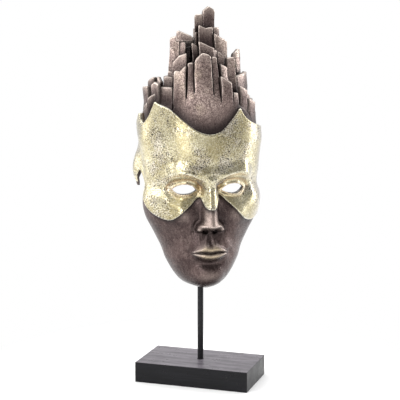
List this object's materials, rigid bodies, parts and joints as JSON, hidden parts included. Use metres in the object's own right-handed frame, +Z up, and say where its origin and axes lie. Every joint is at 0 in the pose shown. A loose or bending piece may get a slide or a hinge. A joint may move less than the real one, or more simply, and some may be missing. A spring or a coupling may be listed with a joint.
{
  "type": "decorative mask on stand",
  "caption": "Hollow cast face with a raised half-mask and a crown of upright boards, on a rod in a rectangular block.",
  "frame": {"origin": "centre of the block's underside", "axes": "+X along the block's length, the block's long front faces -Y, +Z up"},
  "size_m": [0.1713, 0.1271, 0.511],
  "materials": {
    "aged_resin": "cast resin, mauve-brown antique bronze paint rubbed lighter on its edges; the raised half-mask has speckled pale gold leaf",
    "black_rod": "round steel rod, satin black",
    "black_block": "black satin paint with a faint lengthwise grain"
  },
  "bodies": {
    "root": {"mask": "aged_resin", "rod": "black_rod", "base_block": "black_block"}
  },
  "joints": []
}
